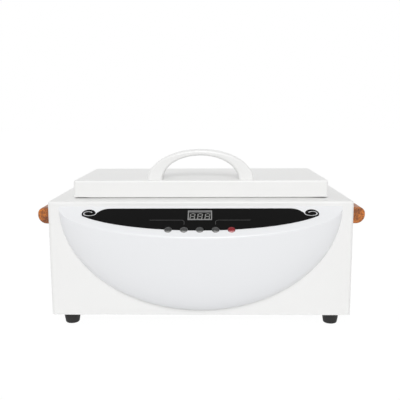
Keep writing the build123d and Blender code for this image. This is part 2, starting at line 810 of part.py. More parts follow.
def temperature_probe():
    thickness, length, height = probe_tab
    tube = Pos(-tank_end - seat - probe_d / 2, probe_y, sensor_z) * Cylinder(probe_d / 2, probe_length)
    tab = Pos(-tank_end - seat - thickness / 2, probe_y + length / 2, sensor_z) * Box(
        thickness, length, height)
    return fillet(tube.edges().group_by(Axis.Z)[0], probe_round) + tab


# ---------------------------------------------------------------- basket
basket_floor = tank_floor + seat


def tool_basket():
    length = tank_length - 2 * basket_clearance
    width = tank_width - 2 * basket_clearance
    outer = rounded_box(length, width, basket_height, basket_corner, y=lid_y, z=basket_floor)
    outer = fillet(outer.edges().group_by(Axis.Z)[0], tank_floor_round + basket_sheet)
    inner = rounded_box(length - 2 * basket_sheet, width - 2 * basket_sheet, basket_height,
                        basket_corner - basket_sheet, y=lid_y, z=basket_floor + basket_sheet)
    inner = fillet(inner.edges().group_by(Axis.Z)[0], tank_floor_round)
    basket = outer - inner
    count = int((length - 2 * basket_corner) / basket_slot_pitch)
    floor_slot = (width - 2 * basket_corner - basket_slot_pitch) / 2
    side_slot = basket_height - 2 * basket_corner
    for i in range(count):
        x = (i - (count - 1) / 2) * basket_slot_pitch
        for side in (-1, 1):
            y = lid_y + side * (floor_slot + basket_slot_pitch) / 2
            basket -= Pos(x, y, basket_floor) * Box(basket_slot_width, floor_slot, 8 * basket_sheet)
        basket -= Pos(x, lid_y, basket_floor + basket_height / 2 + basket_slot_lift) * Box(
            basket_slot_width, 2 * width, side_slot)
    return basket


def basket_handles():
    """Two wire bows, welded inside the ends of the basket."""
    wire_r = basket_bail_wire / 2
    inside = (tank_length - 2 * basket_clearance) / 2 - basket_sheet - seat - wire_r
    low = basket_floor + basket_height - basket_bail_drop
    high = basket_floor + basket_height + basket_bail_rise
    half = basket_bail_width / 2
    path = FilletPolyline((-half, low), (-half, high), (half, high), (half, low),
                          radius=basket_bail_round)
    start = Plane(origin=(-half, low, 0), x_dir=(1, 0, 0), z_dir=(0, 1, 0))
    bow = sweep(start * Circle(wire_r), path=path)
    upright = Plane(origin=(0, lid_y, 0), x_dir=(0, 1, 0), z_dir=(1, 0, 0))
    return group([Pos(side * inside, 0, 0) * (upright * bow) for side in (-1, 1)])


# ---------------------------------------------------------------- lid
def handle_screw_spots():
    y = lid_front_margin + handle_front + handle_depth / 2
    return [(side * handle_screw_pitch / 2, y) for side in (-1, 1)]


def lid_hinge_screws():
    z = (axis_z + knuckle_r + clear + lid_top - lid_edge) / 2
    return [(x + side * hinge_width * hinge_screw_share, z) for x in hinge_places for side in (-1, 1)]


def lid_shell():
    outer = rounded_box(lid_width, lid_depth, lid_height, lid_corner, y=lid_y, z=lid_bottom)
    outer = fillet(top_edges(outer), lid_edge)
    inner = rounded_box(lid_width - 2 * sheet, lid_depth - 2 * sheet, lid_height, lid_corner - sheet,
                        y=lid_y, z=lid_bottom - sheet)
    inner = fillet(top_edges(inner), lid_edge - sheet)
    shell = outer - inner
    for x, y in handle_screw_spots():
        shell -= hole(handle_screw_d / 2 + screw_fit, 4 * sheet, Pos(x, y, lid_top))
    for x, z in lid_hinge_screws():
        shell -= hole(hinge_screw_d / 2 + screw_fit, 4 * sheet, Pos(x, lid_back, z) * Rot(90, 0, 0))
    return shell


def lid_liner():
    length = lid_width - 2 * (sheet + seat)
    width = lid_depth - 2 * (sheet + seat)
    tray = rounded_box(length, width, liner_flange, lid_corner - sheet, y=lid_y, z=liner_bottom)
    tray -= rounded_box(length - 2 * tank_sheet, width - 2 * tank_sheet, liner_flange,
                        lid_corner - sheet - tank_sheet, y=lid_y, z=liner_bottom + tank_sheet)
    for x, z in lid_hinge_screws():
        tray -= hole(hinge_screw_d / 2 + screw_fit, 8 * sheet, Pos(x, lid_back, z) * Rot(90, 0, 0))
    return tray


def lid_insulation():
    gap = sheet + seat + tank_sheet + seat
    bottom = liner_bottom + tank_sheet
    height = lid_top - sheet - seat - bottom
    pad = rounded_box(lid_width - 2 * gap, lid_depth - 2 * gap, height, lid_corner, y=lid_y, z=bottom)
    for x, y in handle_screw_spots():
        pad -= hole(pad_well_r, 2 * pad_well_depth, Pos(x, y, lid_top - sheet))
    for x, z in lid_hinge_screws():
        pad -= hole(pad_hole_r, 2 * pad_hole_depth, Pos(x, lid_back, z) * Rot(90, 0, 0))
    return pad


def lid_seal():
    """Silicone strip under the liner, closing on the middle of the tank's flange."""
    mid_length = tank_length + 2 * tank_sheet + tank_flange
    mid_width = tank_width + 2 * tank_sheet + tank_flange
    corner = tank_corner + tank_sheet
    outer = rounded_box(mid_length + seal_width, mid_width + seal_width, seal_height, corner, y=lid_y,
                        z=flange_top + clear)
    ring = outer - rounded_box(mid_length - seal_width, mid_width - seal_width, 3 * seal_height,
                               corner - seal_width / 2, y=lid_y, z=flange_top - seal_height)
    return fillet(ring.edges().group_by(Axis.Z)[0], seal_round)


def lid_handle():
    outer = Ellipse(handle_outer_span / 2, handle_outer_rise)
    inner = Ellipse(handle_inner_span / 2, handle_inner_rise)
    above = Pos(0, handle_outer_rise) * Rectangle(2 * handle_outer_span, 2 * handle_outer_rise)
    bow = extrude((outer - inner) & above, handle_depth)
    long_edges = [e for e in bow.edges() if e.center().Y > 1 and e.length > handle_outer_rise]
    bow = fillet(long_edges, handle_round)
    front = lid_front_margin + handle_front
    bow = Plane(origin=(0, front + handle_depth, lid_top), x_dir=(1, 0, 0), z_dir=(0, -1, 0)) * bow
    for x, y in handle_screw_spots():
        bow -= hole(handle_screw_d / 2 + screw_fit, 2 * handle_screw_length, Pos(x, y, lid_top))
    return bow


def handle_screws():
    return group([Pos(x, y, lid_top - sheet) * Rot(180, 0, 0)
                  * screw(handle_screw_d, handle_screw_length, head_m4) for x, y in handle_screw_spots()])


# ---------------------------------------------------------------- hinges
def knuckle_spans(first):
    """Every second knuckle of a hinge, as (middle, length) along X."""
    pitch = hinge_width / knuckle_count
    return [((i + 0.5) * pitch - hinge_width / 2, pitch - clear) for i in range(first, knuckle_count, 2)]


def body_hinge_screws():
    y = axis_y + hinge_leaf_length * leaf_screw_share
    return [(x + side * hinge_width * hinge_screw_share, y) for x in hinge_places for side in (-1, 1)]


def hinge_half(first, leaf_length):
    """One leaf lying along +Y under the axis, with its fingers, knuckles and bore."""
    level = -knuckle_r - clear
    start = knuckle_r + 2 * clear
    half = block(hinge_width, leaf_length - start, hinge_leaf, y=(leaf_length + start) / 2, z=level)
    for middle, length in knuckle_spans(first):
        half += block(length, start + finger_lap, hinge_leaf, x=middle, y=(start + finger_lap) / 2,
                      z=level)
        half += Pos(middle, 0, 0) * Rot(0, 90, 0) * Cylinder(knuckle_r, length)
    return half - Rot(0, 90, 0) * Cylinder(pin_r + bore_fit, 2 * hinge_width)


def hinge_screw(grow=0.0):
    return screw(hinge_screw_d, hinge_screw_length, head_sunk, sunk=True, grow=grow)


def cut_all(solid, cutters):
    for cutter in cutters:
        solid -= cutter
    return solid


def hinge_body_leaves():
    leaves = [Pos(x, axis_y, axis_z) * hinge_half(0, hinge_leaf_length) for x in hinge_places]
    holes = [Pos(x, y, casing_top + hinge_leaf) * hinge_screw(screw_fit) for x, y in body_hinge_screws()]
    return group([cut_all(leaf, holes) for leaf in leaves])


def hinge_lid_leaves():
    upright = Rot(90, 0, 0) * mirror(hinge_half(1, lid_top - lid_edge - axis_z), about=Plane.XY)
    leaves = [Pos(x, axis_y, axis_z) * upright for x in hinge_places]
    holes = [lid_hinge_screw_frame(x, z) * hinge_screw(screw_fit) for x, z in lid_hinge_screws()]
    return group([cut_all(leaf, holes) for leaf in leaves])


def lid_hinge_screw_frame(x, z):
    return Plane(origin=(x, lid_back + hinge_leaf, z), x_dir=(1, 0, 0), z_dir=(0, 1, 0))


def hinge_pins():
    pin = Rot(0, 90, 0) * Cylinder(pin_r, hinge_width + pin_overhang)
    head = Pos(hinge_width / 2 + seat + pin_head_length / 2, 0, 0) * Rot(0, 90, 0) * Cylinder(
        pin_head_r, pin_head_length)
    return group([Pos(x, axis_y, axis_z) * (pin + head) for x in hinge_places])


def hinge_body_screws():
    return group([Pos(x, y, casing_top + hinge_leaf) * hinge_screw() for x, y in body_hinge_screws()])


def hinge_lid_screws():
    return group([lid_hinge_screw_frame(x, z) * hinge_screw() for x, z in lid_hinge_screws()])


# ---------------------------------------------------------------- wooden grips
def grip_screw_places():
    return [middle_y + side * grip_screw_pitch / 2 for side in (-1, 1)]


def grip(side):
    """Bar with a flat back and top and a rounded nose, run from front to back along the side."""
    section = Polyline((0, 0), (grip_reach, 0), (grip_reach, grip_height), (0, grip_height), close=True)
    face = make_face(section)
    outer = face.vertices().group_by(Axis.X)[-1].sort_by(Axis.Y)
    face = fillet(outer[0], grip_bottom_round)
    upper = face.vertices().group_by(Axis.Y)[-1].sort_by(Axis.X)
    face = fillet(upper[-1], grip_top_round)
    bar = extrude(Plane.XZ * face, grip_length / 2, both=True)
    ends = bar.faces().sort_by(Axis.Y)
    bar = fillet(ends[0].edges() + ends[-1].edges(), grip_end_round)
    bar = Pos(half_width, middle_y, grip_z - grip_height / 2) * bar
    for y in grip_screw_places():
        bar -= hole(grip_screw_d / 2 + screw_fit, 2 * grip_screw_length,
                    Pos(half_width, y, grip_z) * Rot(0, 90, 0))
    return bar if side > 0 else mirror(bar, about=Plane.YZ)


def grip_screws():
    solids = []
    for side in (-1, 1):
        for y in grip_screw_places():
            solids.append(Pos(side * (half_width - sheet), y, grip_z) * Rot(0, -90 * side, 0)
                          * screw(grip_screw_d, grip_screw_length, head_m4))
    return group(solids)


# ---------------------------------------------------------------- the whole object
pieces = {
    "outer_casing": outer_casing(),
    "base_plate": base_plate(),
    "base_screws": base_screws(),
    "rubber_feet": rubber_feet(),
    "foot_screws": foot_screws(),
    "foot_nuts": foot_nuts(),
    "power_inlet": power_inlet(),
    "inlet_pins": inlet_pins(),
    "inlet_screws": inlet_screws(),
    "front_cover": front_cover(),
    "cover_screws": cover_screws(),
    "control_overlay": control_overlay(),
    "display_frame": display_frame(),
    "display_module": display_module(),
    "display_segments": display_segments(),
    "control_board": control_board(),
    "push_switches": push_switches(),
    "control_board_screws": control_board_screws(),
    "power_board": power_board(),
    "power_board_standoffs": power_board_standoffs(),
    "power_board_screws": power_board_screws(),
    "transformer": transformer(),
    "relay": relay(),
    "terminal_block": terminal_block(),
    "tank": tank(),
    "tank_insulation": tank_insulation(),
    "heater_element": heater_element(),
    "heater_clamps": heater_clamps(),
    "clamp_studs": clamp_studs(),
    "thermal_cutout": thermal_cutout(),
    "temperature_probe": temperature_probe(),
    "tool_basket": tool_basket(),
    "basket_handles": basket_handles(),
    "lid_shell": lid_shell(),
    "lid_liner": lid_liner(),
    "lid_insulation": lid_insulation(),
    "lid_seal": lid_seal(),
    "lid_handle": lid_handle(),
    "handle_screws": handle_screws(),
    "hinge_body_leaves": hinge_body_leaves(),
    "hinge_lid_leaves": hinge_lid_leaves(),
    "hinge_pins": hinge_pins(),
    "hinge_body_screws": hinge_body_screws(),
    "hinge_lid_screws": hinge_lid_screws(),
    "left_grip": grip(-1),
    "right_grip": grip(1),
    "grip_screws": grip_screws(),
}
for number, place in enumerate(button_places, start=1):
    pieces["button_" + str(number)] = button(place)

boxes = [piece.bounding_box() for piece in pieces.values()]
shift_y = -(min(b.min.Y for b in boxes) + max(b.max.Y for b in boxes)) / 2

os.makedirs("parts", exist_ok=True)
for name, piece in pieces.items():
    export_step(Pos(0, shift_y, 0) * piece, "parts/" + name + ".step")
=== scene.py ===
from math import atan2, cos, pi, radians, sin, sqrt, tan

import bmesh
import bpy
from mathutils import Matrix, Vector


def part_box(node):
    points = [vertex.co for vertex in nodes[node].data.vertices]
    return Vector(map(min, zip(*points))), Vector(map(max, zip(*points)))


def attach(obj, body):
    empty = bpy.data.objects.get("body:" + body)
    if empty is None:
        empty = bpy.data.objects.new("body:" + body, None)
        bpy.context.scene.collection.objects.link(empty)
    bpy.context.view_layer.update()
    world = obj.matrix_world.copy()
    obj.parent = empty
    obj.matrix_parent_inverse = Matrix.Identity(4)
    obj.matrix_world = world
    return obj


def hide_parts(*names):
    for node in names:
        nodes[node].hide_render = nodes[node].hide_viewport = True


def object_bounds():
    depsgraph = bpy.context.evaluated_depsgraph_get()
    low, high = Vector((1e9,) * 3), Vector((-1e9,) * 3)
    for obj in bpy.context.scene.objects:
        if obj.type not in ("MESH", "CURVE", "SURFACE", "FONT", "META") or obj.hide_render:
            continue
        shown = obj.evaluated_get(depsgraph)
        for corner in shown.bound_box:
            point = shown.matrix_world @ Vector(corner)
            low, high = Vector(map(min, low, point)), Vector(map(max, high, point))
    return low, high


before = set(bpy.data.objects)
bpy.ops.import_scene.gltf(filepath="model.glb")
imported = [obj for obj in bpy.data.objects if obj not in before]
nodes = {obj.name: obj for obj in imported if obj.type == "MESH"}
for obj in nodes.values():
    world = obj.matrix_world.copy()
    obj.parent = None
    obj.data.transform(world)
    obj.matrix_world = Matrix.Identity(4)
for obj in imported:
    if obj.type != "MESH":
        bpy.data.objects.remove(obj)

cad_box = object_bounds()
scene = bpy.context.scene
scene.view_settings.view_transform = "Standard"

# ---------------------------------------------------------------- camera
# The object was photographed square on with a longish lens, from a little above its lid.
# A flat, even view with almost no lean, so the front face fills most of the frame.
yaw, pitch, roll = radians(-1.0514), radians(8.781), radians(-0.2559)
camera_place = (0.01127, -0.69288, 0.23689)
sensor_width, focal_length = 36.0, 52.51       # millimetres
ahead = Vector((sin(yaw) * cos(pitch), cos(yaw) * cos(pitch), -sin(pitch)))
level = Vector((cos(yaw), -sin(yaw), 0.0))
upward = level.cross(ahead)
across = level * cos(roll) + upward * sin(roll)
upward = upward * cos(roll) - level * sin(roll)
camera = bpy.data.objects.new("camera", bpy.data.cameras.new("camera"))
camera.data.sensor_width = sensor_width
camera.data.lens = focal_length
camera.matrix_world = (Matrix.Translation(camera_place)
                       @ Matrix((across, upward, -ahead)).transposed().to_4x4())
scene.collection.objects.link(camera)
scene.camera = camera


# ---------------------------------------------------------------- outer casing and lid
# Folded one-millimetre sheet steel with welded corners; the lid is a shallow tray of the same.
# Sprayed with white polyester powder and baked: satin, very even, with a faint orange peel.
def linear(colour):
    """Linear RGBA of an sRGB hex colour."""
    channels = [int(colour[i:i + 2], 16) / 255 for i in (0, 2, 4)]
    return [c / 12.92 if c <= 0.04045 else ((c + 0.055) / 1.055) ** 2.4 for c in channels] + [1.0]


def add(tree, kind, settings=None, links=None):
    """One node, with its settings by property or input name and its links by input name."""
    made = tree.nodes.new(kind)
    for key, value in (settings or {}).items():
        if isinstance(key, str) and hasattr(made, key):
            setattr(made, key, value)
        else:
            made.inputs[key].default_value = value
    for key, source in (links or {}).items():
        tree.links.new(source, made.inputs[key])
    return made


def start_material(name, **settings):
    """A material whose shader has these uniform settings; gives it, its tree, shader and place."""
    material = bpy.data.materials.new(name)
    material.use_nodes = True
    tree = material.node_tree
    shader = tree.nodes["Principled BSDF"]
    for key, value in settings.items():
        shader.inputs[key.replace("_", " ")].default_value = value
    place = add(tree, "ShaderNodeTexCoord").outputs["Object"]
    return material, tree, shader, place


def dress(material, *names):
    """Gives carried-over nodes a material."""
    for name in names:
        mesh = nodes[name].data
        mesh.materials.clear()
        mesh.materials.append(material)


# Baked polyester powder: a plain warm white with a soft, slightly uneven sheen.
enamel, tree, shader, place = start_material("baked_white_enamel", Base_Color=linear("EFEFEE"),
                                             IOR=1.5)
peel = add(tree, "ShaderNodeTexNoise", {"Scale": 1 / 0.0022, "Detail": 2.0}, {"Vector": place})
bump = add(tree, "ShaderNodeBump", {"Strength": 0.05, "Distance": 0.0003},
           {"Height": peel.outputs["Fac"]})
handled = add(tree, "ShaderNodeTexNoise", {"Scale": 1 / 0.045, "Detail": 3.0}, {"Vector": place})
sheen = add(tree, "ShaderNodeMapRange", {"To Min": 0.30, "To Max": 0.40},
            {"Value": handled.outputs["Fac"]})
tree.links.new(bump.outputs["Normal"], shader.inputs["Normal"])
tree.links.new(sheen.outputs["Result"], shader.inputs["Roughness"])
dress(enamel, "outer_casing", "lid_shell")


# ---------------------------------------------------------------- base plate, feet and screws
# Galvanised sheet closing the underside, with slots that let air in past the power board.
# The feet are moulded black rubber. Pan-head screws with a cross recess hold the plate.

# Hot-dipped zinc: dull grey with crystals some nine millimetres across.
galvanised, tree, shader, place = start_material("galvanised_sheet", Metallic=1.0, Roughness=0.42)
spangle = add(tree, "ShaderNodeTexVoronoi", {"Scale": 1 / 0.009}, {"Vector": place})
tone = add(tree, "ShaderNodeMix",
           {"data_type": "RGBA", "A": linear("A9ADB0"), "B": linear("BFC3C6")},
           {"Factor": spangle.outputs["Distance"]})
tree.links.new(tone.outputs["Result"], shader.inputs["Base Color"])
dress(galvanised, "base_plate", "heater_clamps")

# Moulded rubber: near black and matt, a little greyer where dust clings.
rubber, tree, shader, place = start_material("moulded_black_rubber", Base_Color=linear("100F0E"),
                                             IOR=1.52)
dust = add(tree, "ShaderNodeTexNoise", {"Scale": 1 / 0.006, "Detail": 4.0}, {"Vector": place})
matt = add(tree, "ShaderNodeMapRange", {"To Min": 0.55, "To Max": 0.75},
           {"Value": dust.outputs["Fac"]})
tree.links.new(matt.outputs["Result"], shader.inputs["Roughness"])
dress(rubber, "rubber_feet")

# Bright zinc plate: light and fairly shiny, dulled here and there by handling.
plated, tree, shader, place = start_material("bright_zinc_plating", Metallic=1.0)
worn = add(tree, "ShaderNodeTexNoise", {"Scale": 1 / 0.003, "Detail": 2.0}, {"Vector": place})
tone = add(tree, "ShaderNodeMix",
           {"data_type": "RGBA", "A": linear("B8BBBD"), "B": linear("D2D4D3")},
           {"Factor": worn.outputs["Fac"]})
gloss = add(tree, "ShaderNodeMapRange", {"To Min": 0.28, "To Max": 0.40},
            {"Value": worn.outputs["Fac"]})
tree.links.new(tone.outputs["Result"], shader.inputs["Base Color"])
tree.links.new(gloss.outputs["Result"], shader.inputs["Roughness"])
dress(plated, "base_screws", "foot_screws", "foot_nuts", "inlet_screws", "cover_screws",
      "control_board_screws", "power_board_standoffs", "power_board_screws", "clamp_studs",
      "handle_screws", "hinge_body_leaves", "hinge_lid_leaves", "hinge_pins", "hinge_body_screws",
      "hinge_lid_screws", "grip_screws")


def start_tree(name, sizes):
    """A Geometry Nodes tree with these named inputs; gives it and its inputs' sockets."""
    tree = bpy.data.node_groups.new(name, "GeometryNodeTree")
    tree.interface.new_socket("Geometry", in_out="INPUT", socket_type="NodeSocketGeometry")
    tree.interface.new_socket("Geometry", in_out="OUTPUT", socket_type="NodeSocketGeometry")
    for key, value in sizes.items():
        kind = {int: "Int", float: "Float", tuple: "Vector"}[type(value)]
        tree.interface.new_socket(key, in_out="INPUT", socket_type="NodeSocket" + kind)
    return tree, add(tree, "NodeGroupInput").outputs


def finish_tree(tree, shape, material):
    """Ends a tree in plain geometry of one material."""
    real = add(tree, "GeometryNodeRealizeInstances", None, {"Geometry": shape})
    coated = add(tree, "GeometryNodeSetMaterial", {"Material": material},
                 {"Geometry": real.outputs[0]})
    add(tree, "NodeGroupOutput", None, {"Geometry": coated.outputs["Geometry"]})


def grow(name, tree, sizes, points=()):
    """An object at the origin that carries the tree, with its inputs set, on a cloud of points."""
    seed = bpy.data.meshes.new(name + "_points")
    seed.from_pydata([tuple(point) for point in points], [], [])
    piece = bpy.data.objects.new(name, seed)
    scene.collection.objects.link(piece)
    rule = piece.modifiers.new("rule", "NODES")
    rule.node_group = tree
    for item in tree.interface.items_tree:
        if item.in_out == "INPUT" and item.name in sizes:
            rule[item.identifier] = sizes[item.name]
    return piece


def harden(piece, sharp=35.0, weld=1e-7):
    """Turns the evaluated object into a plain mesh with outward faces, smooth but for its edges."""
    bpy.context.view_layer.update()
    grown = piece.evaluated_get(bpy.context.evaluated_depsgraph_get())
    shape = bpy.data.meshes.new_from_object(grown)
    piece.modifiers.clear()
    piece.data = shape
    tidy = bmesh.new()
    tidy.from_mesh(shape)
    bmesh.ops.remove_doubles(tidy, verts=tidy.verts, dist=weld)
    bmesh.ops.recalc_face_normals(tidy, faces=tidy.faces)
    if tidy.calc_volume(signed=True) < 0:
        bmesh.ops.reverse_faces(tidy, faces=tidy.faces)
    tidy.to_mesh(shape)
    tidy.free()
    shape.shade_smooth()
    shape.set_sharp_from_angle(angle=radians(sharp))


def solid_boxes(name, weld=1e-6):
    """Lowest and highest corner of each solid of a carried-over node, in order of their lowest."""
    loose = bmesh.new()
    loose.from_mesh(nodes[name].data)
    bmesh.ops.remove_doubles(loose, verts=loose.verts, dist=weld)
    boxes, left = [], set(loose.verts)
    while left:
        patch, edge = set(), [left.pop()]
        while edge:
            vertex = edge.pop()
            patch.add(vertex)
            for link in vertex.link_edges:
                other = link.other_vert(vertex)
                if other in left:
                    left.remove(other)
                    edge.append(other)
        spots = [vertex.co for vertex in patch]
        boxes.append((Vector([min(s[i] for s in spots) for i in range(3)]),
                      Vector([max(s[i] for s in spots) for i in range(3)])))
    loose.free()
    return sorted(boxes, key=lambda box: tuple(box[0]))


# One screw is turned from its half outline, and two crossed bars are cut from its head.
# The head's outline is in shares of its radius and rise, a bar's width in shares of its length.
head_flat, head_shoulder = 0.55, 0.9
shoulder_rise, rim_rise = 0.72, 0.3
bar_width = 0.28
turn_steps = 32
core, core_seam = 1e-6, 5e-6       # the axis as a tiny radius, and the reach that closes it
screw_sizes = {"Shank": 0.0015, "Length": 0.006, "Head": 0.0028, "Rise": 0.002, "Sink": 0.0,
               "Turn": (0.0, 0.0, 0.0), "Recess": 0.0026}
tree, size = start_tree("cross_head_screw", screw_sizes)
flat, shoulder, high, low, under, tip, thin = (
    add(tree, "ShaderNodeMath", {"operation": "MULTIPLY", 1: factor}, {0: size[key]}).outputs[0]
    for key, factor in (("Head", head_flat), ("Head", head_shoulder), ("Rise", shoulder_rise),
                        ("Rise", rim_rise), ("Sink", -1.0), ("Length", -1.0),
                        ("Recess", bar_width)))
corners = ((None, size["Rise"]), (flat, size["Rise"]), (shoulder, high), (size["Head"], low),
           (size["Shank"], under), (size["Shank"], tip), (None, tip))
outline = add(tree, "GeometryNodeMeshLine", {"Count": len(corners)})
index = add(tree, "GeometryNodeInputIndex").outputs["Index"]
shape = outline.outputs["Mesh"]
for number, (radius, height) in enumerate(corners):
    here = add(tree, "FunctionNodeCompare", {"data_type": "INT", "operation": "EQUAL"})
    tree.links.new(index, here.inputs[2])
    here.inputs[3].default_value = number
    spot = add(tree, "ShaderNodeCombineXYZ", {"X": core},
               {"X": radius, "Y": height} if radius else {"Y": height})
    moved = add(tree, "GeometryNodeSetPosition", None,
                {"Geometry": shape, "Selection": here.outputs[0], "Position": spot.outputs[0]})
    shape = moved.outputs["Geometry"]
half = add(tree, "GeometryNodeMeshToCurve", None, {"Mesh": shape})
wheel = add(tree, "GeometryNodeCurvePrimitiveCircle", {"Resolution": turn_steps, "Radius": core})
turned = add(tree, "GeometryNodeCurveToMesh", None,
             {"Curve": wheel.outputs["Curve"], "Profile Curve": half.outputs["Curve"]})
closed = add(tree, "GeometryNodeMergeByDistance", {"Distance": core_seam},
             {"Geometry": turned.outputs["Mesh"]})
upright = add(tree, "GeometryNodeTransform", {"Rotation": (pi, 0.0, 0.0)},
              {"Geometry": closed.outputs["Geometry"]})
top = add(tree, "ShaderNodeCombineXYZ", None, {"Z": size["Rise"]})
screw = add(tree, "GeometryNodeMeshBoolean", {"operation": "DIFFERENCE", "solver": "EXACT"},
            {"Mesh 1": upright.outputs["Geometry"]})
for long, short in (("X", "Y"), ("Y", "X")):
    reach = add(tree, "ShaderNodeCombineXYZ", None,
                {long: size["Recess"], short: thin, "Z": size["Recess"]})
    bar = add(tree, "GeometryNodeMeshCube", None, {"Size": reach.outputs[0]})
    bar = add(tree, "GeometryNodeTransform", None,
              {"Geometry": bar.outputs["Mesh"], "Translation": top.outputs[0]})
    tree.links.new(bar.outputs["Geometry"], screw.inputs["Mesh 2"])
rows = add(tree, "GeometryNodeInstanceOnPoints", None,
           {"Points": size["Geometry"], "Instance": screw.outputs["Mesh"],
            "Rotation": size["Turn"]})
finish_tree(tree, rows.outputs["Instances"], plated)
screw_tree = tree


def fit_screws(node, body, inward, **changes):
    """Screws in the places of a node's plain ones, their heads facing away from inward."""
    sizes = dict(screw_sizes, **changes)
    axis = max(range(3), key=lambda i: abs(inward[i]))
    seats = []
    for lowest, highest in solid_boxes(node):
        seat = (lowest + highest) / 2
        if inward[axis] > 0:
            seat[axis] = lowest[axis] + sizes["Rise"]
        else:
            seat[axis] = highest[axis] - sizes["Rise"]
        seats.append(seat)
    sizes["Turn"] = tuple(Vector(inward).to_track_quat("-Z", "Y").to_euler())
    piece = grow(node + "_fitted", screw_tree, sizes, seats)
    harden(piece)
    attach(piece, body)
    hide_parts(node)


fit_screws("base_screws", "case", (0, 0, 1))
fit_screws("foot_screws", "case", (0, 0, 1), Shank=0.002, Length=0.012, Head=0.0038, Rise=0.0026,
           Recess=0.0036)

# ---------------------------------------------------------------- power inlet
# A three-pin appliance socket in black nylon, screwed into the rear wall.
# Its pins are nickel-plated brass.

# Moulded nylon: black with a fine spark-eroded grain that breaks its shine.
nylon, tree, shader, place = start_material("moulded_black_nylon", Base_Color=linear("1A1A1B"),
                                            IOR=1.53)
grain = add(tree, "ShaderNodeTexNoise", {"Scale": 1 / 0.0008, "Detail": 1.0}, {"Vector": place})
bump = add(tree, "ShaderNodeBump", {"Strength": 0.15, "Distance": 0.0001},
           {"Height": grain.outputs["Fac"]})
matt = add(tree, "ShaderNodeMapRange", {"To Min": 0.42, "To Max": 0.55},
           {"Value": grain.outputs["Fac"]})
tree.links.new(bump.outputs["Normal"], shader.inputs["Normal"])
tree.links.new(matt.outputs["Result"], shader.inputs["Roughness"])
dress(nylon, "power_inlet", "relay", "push_switches")

# Nickel over brass: bright, with brass showing yellow where it is rubbed.
nickel, tree, shader, place = start_material("nickel_plated_brass", Metallic=1.0, Roughness=0.25)
rub = add(tree, "ShaderNodeTexNoise", {"Scale": 1 / 0.0015}, {"Vector": place})
tone = add(tree, "ShaderNodeMix",
           {"data_type": "RGBA", "A": linear("C9C2A8"), "B": linear("DAD7CC")},
           {"Factor": rub.outputs["Fac"]})
tree.links.new(tone.outputs["Result"], shader.inputs["Base Color"])
dress(nickel, "inlet_pins")
fit_screws("inlet_screws", "case", (0, -1, 0), Length=0.010)

# ---------------------------------------------------------------- tank, heater and insulation
# Deep-drawn stainless steel pan welded into the casing's top, in a blanket of glass wool.
# The sheathed element is clamped under its floor; a thermostat and a probe sit on its left end.

# Stainless sheet brushed along its length: long fine streaks, drawn coarser than they are, to show.
stainless, tree, shader, place = start_material("satin_stainless", Metallic=1.0)
along_brush, across_brush = 20.0, 1800.0       # streaks in a metre
stretch = add(tree, "ShaderNodeMapping", {"Scale": (along_brush, across_brush, across_brush)},
              {"Vector": place})
brushed = add(tree, "ShaderNodeTexNoise", {"Scale": 1.0, "Detail": 3.0},
              {"Vector": stretch.outputs["Vector"]})
tone = add(tree, "ShaderNodeMix",
           {"data_type": "RGBA", "A": linear("B4B4B2"), "B": linear("CBCBC9")},
           {"Factor": brushed.outputs["Fac"]})
gloss = add(tree, "ShaderNodeMapRange", {"To Min": 0.28, "To Max": 0.42},
            {"Value": brushed.outputs["Fac"]})
tree.links.new(tone.outputs["Result"], shader.inputs["Base Color"])
tree.links.new(gloss.outputs["Result"], shader.inputs["Roughness"])
dress(stainless, "tank", "temperature_probe", "lid_liner", "tool_basket", "basket_handles")

# Glass wool: yellowish, matt and fibrous.
wool, tree, shader, place = start_material("glass_wool_blanket", Roughness=0.95)
fibres = add(tree, "ShaderNodeTexNoise", {"Scale": 1 / 0.0012, "Detail": 6.0}, {"Vector": place})
tone = add(tree, "ShaderNodeMix",
           {"data_type": "RGBA", "A": linear("C9BE93"), "B": linear("E6DDBB")},
           {"Factor": fibres.outputs["Fac"]})
bump = add(tree, "ShaderNodeBump", {"Strength": 0.6, "Distance": 0.0006},
           {"Height": fibres.outputs["Fac"]})
tree.links.new(tone.outputs["Result"], shader.inputs["Base Color"])
tree.links.new(bump.outputs["Normal"], shader.inputs["Normal"])
dress(wool, "tank_insulation", "lid_insulation")

# Steel sheath after many heatings: dark brown-grey scale in patches.
sheath, tree, shader, place = start_material("heat_darkened_sheath", Metallic=1.0)
scale_marks = add(tree, "ShaderNodeTexNoise", {"Scale": 1 / 0.006, "Detail": 4.0},
                  {"Vector": place})
tone = add(tree, "ShaderNodeMix",
           {"data_type": "RGBA", "A": linear("4A4540"), "B": linear("7A7268")},
           {"Factor": scale_marks.outputs["Fac"]})
dull = add(tree, "ShaderNodeMapRange", {"To Min": 0.4, "To Max": 0.6},
           {"Value": scale_marks.outputs["Fac"]})
tree.links.new(tone.outputs["Result"], shader.inputs["Base Color"])
tree.links.new(dull.outputs["Result"], shader.inputs["Roughness"])
dress(sheath, "heater_element")

# Spun aluminium: pale, with a soft uneven shine.
alloy, tree, shader, place = start_material("spun_aluminium", Metallic=1.0,
                                            Base_Color=linear("C9CACB"))
rings = add(tree, "ShaderNodeTexNoise", {"Scale": 1 / 0.0008}, {"Vector": place})
gloss = add(tree, "ShaderNodeMapRange", {"To Min": 0.3, "To Max": 0.45},
            {"Value": rings.outputs["Fac"]})
tree.links.new(gloss.outputs["Result"], shader.inputs["Roughness"])
dress(alloy, "thermal_cutout")

# ---------------------------------------------------------------- boards under the tank and deck
# Green glass-epoxy boards; the power board carries a laminated transformer, a relay and terminals.
# They are inside the casing and show only with its base off.

